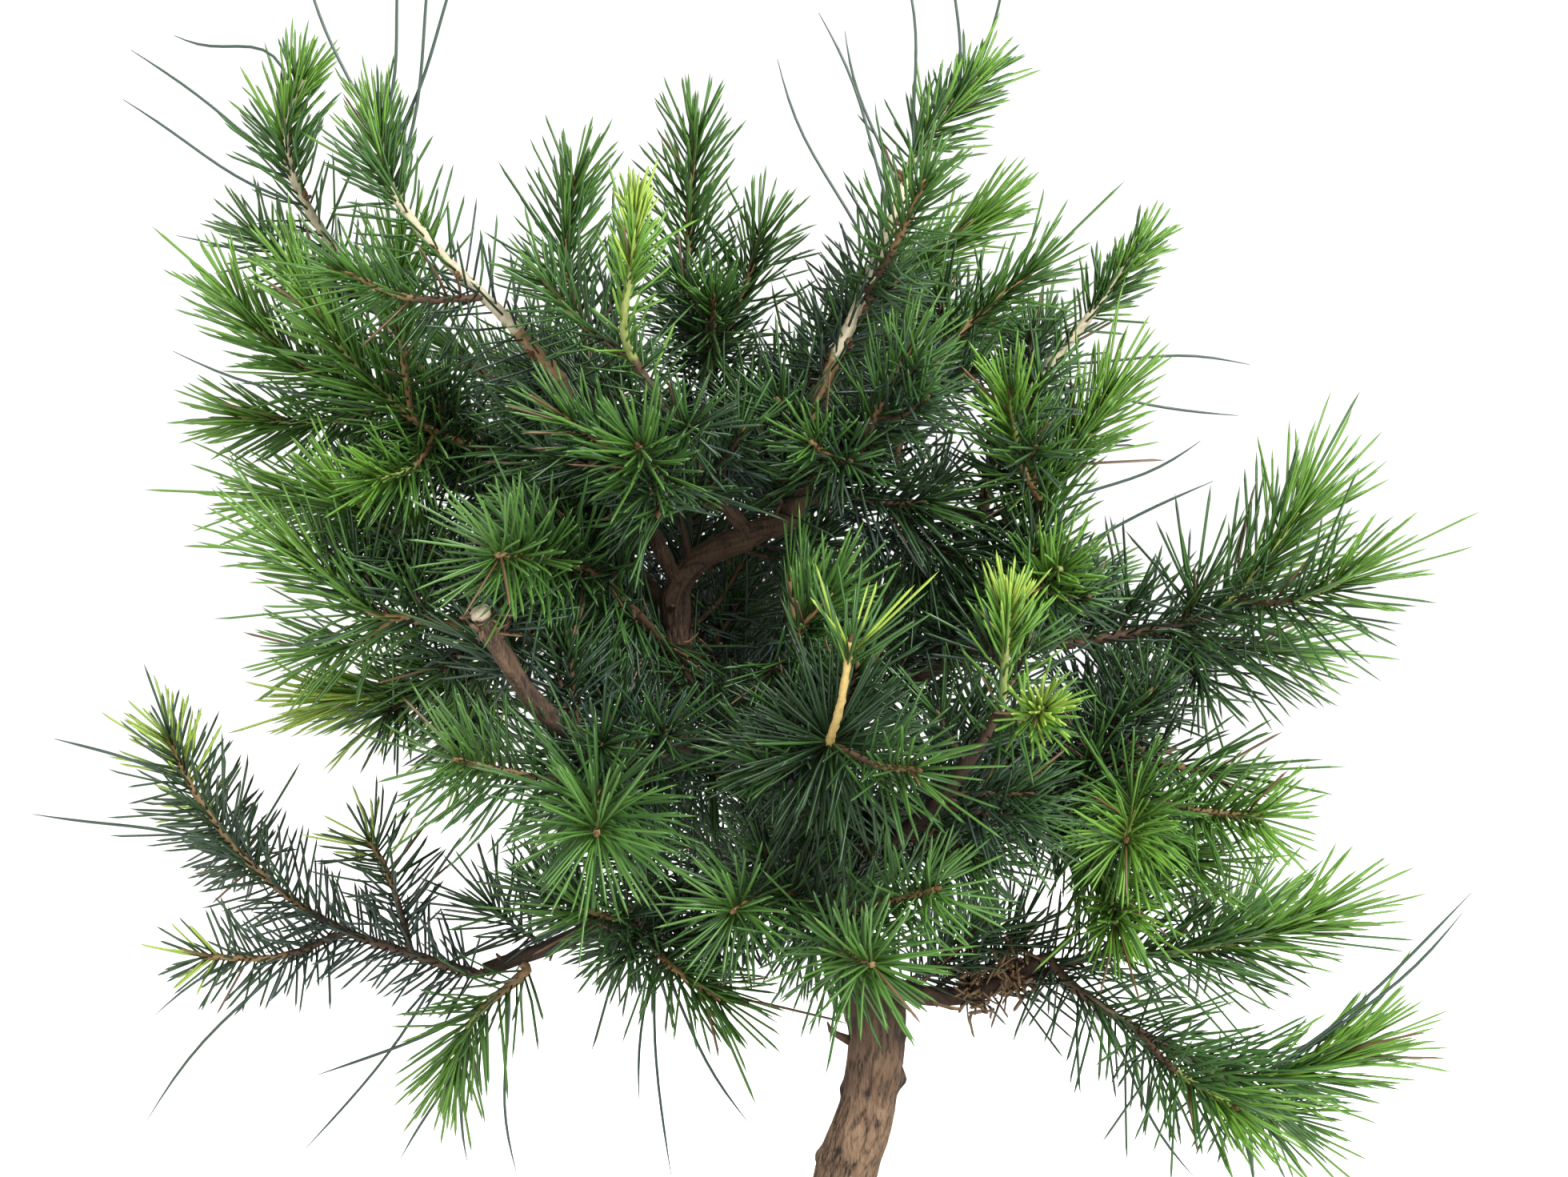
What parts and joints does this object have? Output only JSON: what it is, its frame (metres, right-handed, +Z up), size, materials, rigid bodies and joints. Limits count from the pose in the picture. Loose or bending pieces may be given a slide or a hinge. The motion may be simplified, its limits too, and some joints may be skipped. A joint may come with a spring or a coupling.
{
  "type": "aleppo pine bonsai",
  "caption": "Potted bonsai pine: a leaning, tapered trunk, slim curved boughs and open masses of fine needles, in a plain rectangular stoneware pot.",
  "frame": {"origin": "middle of the pot's flat underside, on the surface that the pot stands on", "axes": "+Z up along the tree, +X to the right of the tree's front, +Y from the front to the back"},
  "size_m": [0.5, 0.4109, 0.56],
  "materials": {
    "bark": "rough fissured bark",
    "cut_wood": "weathered bark with a sawn end",
    "needles_dark": "old needles, satin",
    "needles_green": "needles, satin",
    "needles_bright": "young needles, satin",
    "needles_yellow": "new candles, satin",
    "soil": "gritty soil",
    "stoneware": "unglazed stoneware"
  },
  "bodies": {
    "root": {"trunk": "bark", "bough_left_low": "bark", "bough_right_low": "bark", "bough_right_front": "bark", "bough_right_mid": "bark", "bough_right_high": "bark", "bough_upper_right": "bark", "bough_crest": "bark", "bough_upper_left": "bark", "bough_left_high": "bark", "bough_left_mid": "bark", "bough_cut_stub": "cut_wood", "bough_front_low": "bark", "bough_front_mid": "bark", "bough_back_low": "bark", "bough_back_mid": "bark", "bough_back_high": "bark", "foliage_left_sweep": "needles_dark", "foliage_left_hang": "needles_bright", "foliage_low_front_left": "needles_green", "foliage_whorl_front_left": "needles_dark", "foliage_low_front": "needles_bright", "foliage_front_heart": "needles_dark", "foliage_front_small": "needles_green", "foliage_right_candle": "needles_bright", "foliage_right_star": "needles_bright", "foliage_right_drop": "needles_bright", "foliage_right_brush": "needles_green", "foliage_right_low_upper": "needles_green", "foliage_right_low_tip": "needles_green", "foliage_right_back": "needles_green", "foliage_right_wing": "needles_green", "foliage_upper_right_green": "needles_green", "foliage_right_spire": "needles_dark", "foliage_inner_right": "needles_green", "foliage_bud_spire": "needles_green", "foliage_inner_green": "needles_green", "foliage_top_right_spire": "needles_green", "foliage_top_mid": "needles_dark", "foliage_top_left": "needles_green", "foliage_front_candle": "needles_yellow", "foliage_upper_left_spire": "needles_green", "foliage_far_left_spire": "needles_green", "foliage_left_fan": "needles_bright", "foliage_left_upright": "needles_bright", "foliage_left_bright_high": "needles_bright", "foliage_left_bright_low": "needles_bright", "foliage_left_star": "needles_green", "foliage_left_pale": "needles_yellow", "foliage_heart_star": "needles_green", "foliage_back_low_left": "needles_dark", "foliage_back_low_right": "needles_dark", "foliage_back_mid_left": "needles_green", "foliage_back_mid_right": "needles_green", "foliage_back_high_left": "needles_green", "foliage_back_high_right": "needles_green", "foliage_back_centre": "needles_green", "soil": "soil", "pot": "stoneware"}
  },
  "joints": []
}
